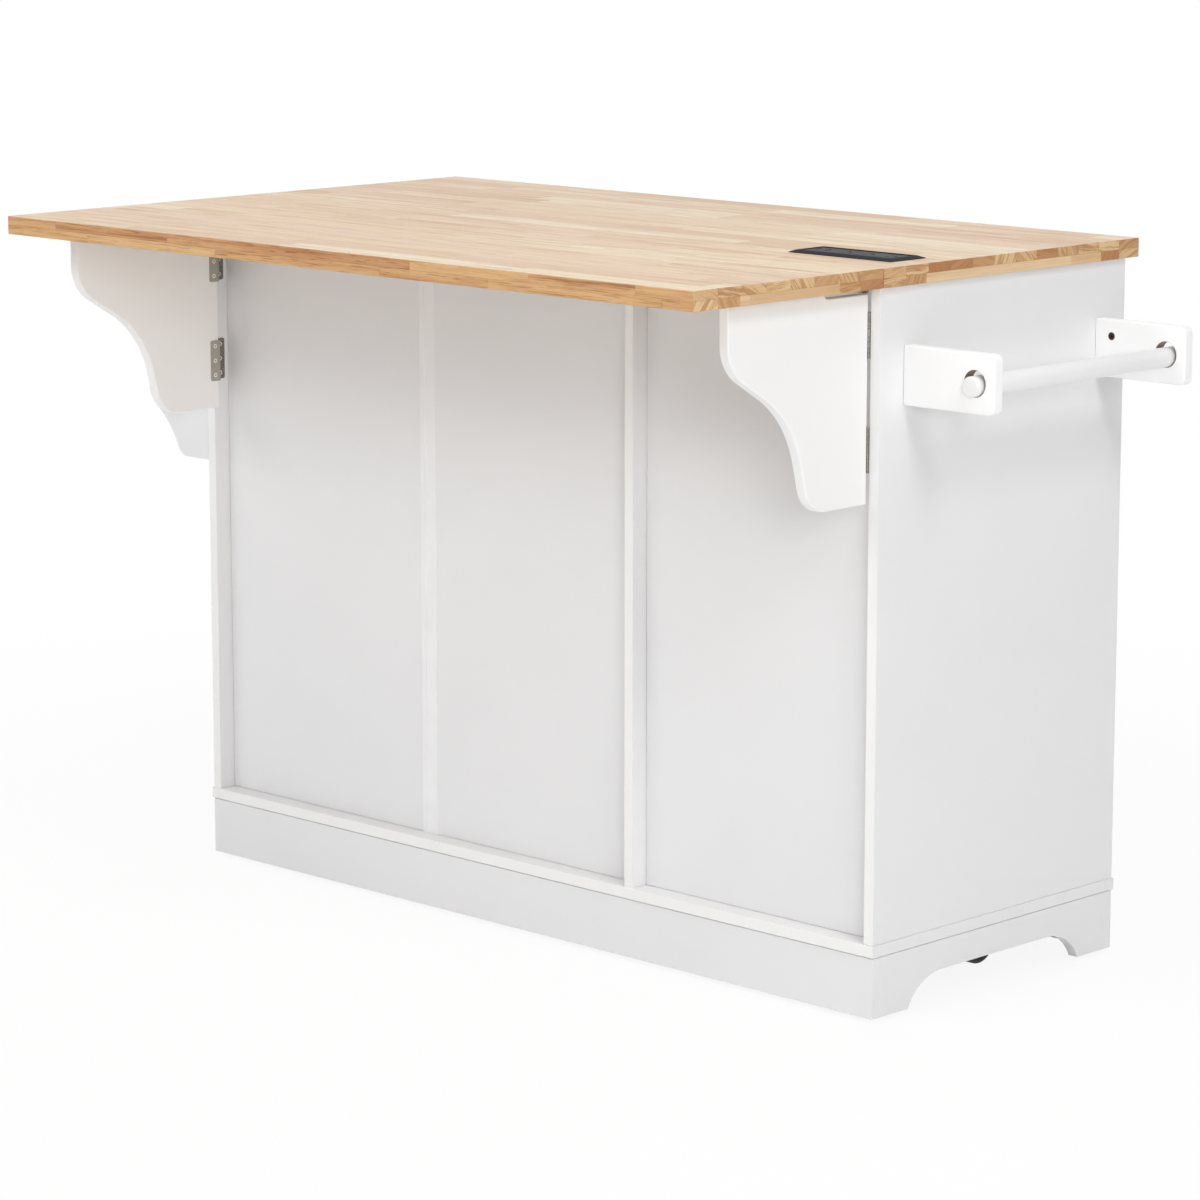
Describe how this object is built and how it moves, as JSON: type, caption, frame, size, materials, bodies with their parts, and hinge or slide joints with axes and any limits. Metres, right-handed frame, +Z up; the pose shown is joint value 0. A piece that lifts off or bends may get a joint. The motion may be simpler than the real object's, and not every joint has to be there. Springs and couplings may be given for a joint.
{
  "type": "drop leaf kitchen island",
  "caption": "White kitchen island with a wooden worktop, a drop leaf on folding brackets, doors, drawers, towel bar, spice rack, power strip and hidden casters.",
  "frame": {"origin": "on the floor, under the middle of the whole outline", "axes": "+X along the worktop towards the towel rack, +Y towards the doors and drawers, +Z up; the drop leaf is on the -Y side"},
  "size_m": [1.488, 0.8306, 0.9296],
  "materials": {
    "butcher_block": "satin lacquered rubberwood staves",
    "painted_board": "white satin paint on fibreboard",
    "inner_board": "white satin foil on fibreboard",
    "white_plastic": "satin",
    "painted_dowel": "white satin paint",
    "nickel": "brushed nickel plate",
    "zinc_steel": "zinc plate",
    "black_plastic": "satin moulded",
    "wheel_rubber": "matte"
  },
  "bodies": {
    "root": {"main_top": "butcher_block", "side_panel_right": "painted_board", "side_panel_left": "painted_board", "partition": "painted_board", "bottom_board": "painted_board", "back_panels": "inner_board", "back_joint_strip": "white_plastic", "plinth_long_boards": "painted_board", "plinth_end_boards": "painted_board", "top_rails": "inner_board", "shelf": "inner_board", "shelf_pins": "zinc_steel", "rack_plates": "painted_board", "rack_cams": "zinc_steel", "spice_side_boards": "painted_board", "spice_shelves": "painted_board", "spice_guard_rails": "painted_board", "power_strip_case": "black_plastic", "power_strip_sockets": "black_plastic", "leaf_hinge_short_plates": "nickel", "bracket_hinge_wall_plates": "nickel", "door_hinge_wall_plates": "nickel", "hinge_pins": "nickel", "hinge_screws": "zinc_steel", "drawer_runners": "zinc_steel", "caster_plates": "zinc_steel", "caster_screws": "zinc_steel"},
    "leaf": {"drop_leaf": "butcher_block", "leaf_hinge_long_plates": "nickel"},
    "bracket_r": {"bracket_right": "painted_board", "bracket_right_hinges": "nickel"},
    "bracket_l": {"bracket_left": "painted_board", "bracket_left_hinges": "nickel"},
    "door_l": {"door_left": "painted_board", "door_left_hinges": "nickel", "door_left_knob": "nickel"},
    "door_r": {"door_right": "painted_board", "door_right_hinges": "nickel", "door_right_knob": "nickel"},
    "drawer_top": {"drawer_top_front": "painted_board", "drawer_top_box": "inner_board", "drawer_top_knob": "nickel"},
    "drawer_middle": {"drawer_middle_front": "painted_board", "drawer_middle_box": "inner_board", "drawer_middle_knob": "nickel"},
    "drawer_bottom": {"drawer_bottom_front": "painted_board", "drawer_bottom_box": "inner_board", "drawer_bottom_knob": "nickel"},
    "bar": {"towel_bar": "painted_dowel"},
    "fork_1": {"caster_fork_1": "zinc_steel"},
    "wheel_1": {"caster_wheel_1": "wheel_rubber"},
    "fork_2": {"caster_fork_2": "zinc_steel"},
    "wheel_2": {"caster_wheel_2": "wheel_rubber"},
    "fork_3": {"caster_fork_3": "zinc_steel"},
    "wheel_3": {"caster_wheel_3": "wheel_rubber"},
    "fork_4": {"caster_fork_4": "zinc_steel"},
    "wheel_4": {"caster_wheel_4": "wheel_rubber"},
    "pedal_1": {"brake_pedal_1": "black_plastic"},
    "pedal_2": {"brake_pedal_2": "black_plastic"}
  },
  "joints": [
    {"name": "leaf_hinge", "type": "hinge", "parent": "root", "child": "leaf", "pos_m": [0, -0.08725, 0.8975], "axis": [-1, 0, 0], "range_deg": [0, 1.8]},
    {"name": "bracket_right_fold", "type": "hinge", "parent": "root", "child": "bracket_r", "pos_m": [0.5862, -0.08225, 0.77], "axis": [0, 0, -1], "range_deg": [0, 90]},
    {"name": "bracket_left_fold", "type": "hinge", "parent": "root", "child": "bracket_l", "pos_m": [-0.6002, -0.08225, 0.77], "axis": [0, 0, 1], "range_deg": [0, 90]},
    {"name": "door_left_hinge", "type": "hinge", "parent": "root", "child": "door_l", "pos_m": [-0.6015, 0.39205, 0.5], "axis": [0, 0, 1], "range_deg": [0, 110]},
    {"name": "door_right_hinge", "type": "hinge", "parent": "root", "child": "door_r", "pos_m": [0.1825, 0.39205, 0.5], "axis": [0, 0, -1], "range_deg": [0, 90]},
    {"name": "drawer_top_slide", "type": "slide", "parent": "root", "child": "drawer_top", "axis": [0, 1, 0], "range_m": [0, 0.3]},
    {"name": "drawer_middle_slide", "type": "slide", "parent": "root", "child": "drawer_middle", "axis": [0, 1, 0], "range_m": [0, 0.3]},
    {"name": "drawer_bottom_slide", "type": "slide", "parent": "root", "child": "drawer_bottom", "axis": [0, 1, 0], "range_m": [0, 0.3]},
    {"name": "towel_bar_turn", "type": "hinge", "parent": "root", "child": "bar", "pos_m": [0.714, 0.1535, 0.7908], "axis": [0, 1, 0], "continuous": true},
    {"name": "caster_1_swivel", "type": "hinge", "parent": "root", "child": "fork_1", "pos_m": [0.51, 0.25425, 0.07], "axis": [0, 0, 1], "continuous": true},
    {"name": "caster_1_roll", "type": "hinge", "parent": "fork_1", "child": "wheel_1", "pos_m": [0.51, 0.22625, 0.03], "axis": [1, 0, 0], "continuous": true},
    {"name": "caster_2_swivel", "type": "hinge", "parent": "root", "child": "fork_2", "pos_m": [-0.524, 0.25425, 0.07], "axis": [0, 0, 1], "continuous": true},
    {"name": "caster_2_roll", "type": "hinge", "parent": "fork_2", "child": "wheel_2", "pos_m": [-0.524, 0.22625, 0.03], "axis": [1, 0, 0], "continuous": true},
    {"name": "caster_3_swivel", "type": "hinge", "parent": "root", "child": "fork_3", "pos_m": [0.51, 0.05275, 0.07], "axis": [0, 0, 1], "continuous": true},
    {"name": "caster_3_roll", "type": "hinge", "parent": "fork_3", "child": "wheel_3", "pos_m": [0.51, 0.02475, 0.03], "axis": [1, 0, 0], "continuous": true},
    {"name": "caster_4_swivel", "type": "hinge", "parent": "root", "child": "fork_4", "pos_m": [-0.524, 0.05275, 0.07], "axis": [0, 0, 1], "continuous": true},
    {"name": "caster_4_roll", "type": "hinge", "parent": "fork_4", "child": "wheel_4", "pos_m": [-0.524, 0.02475, 0.03], "axis": [1, 0, 0], "continuous": true},
    {"name": "brake_1_press", "type": "hinge", "parent": "fork_1", "child": "pedal_1", "pos_m": [0.51, 0.21025, 0.067], "axis": [1, 0, 0], "range_deg": [0, 8]},
    {"name": "brake_2_press", "type": "hinge", "parent": "fork_2", "child": "pedal_2", "pos_m": [-0.524, 0.21025, 0.067], "axis": [1, 0, 0], "range_deg": [0, 8]}
  ]
}
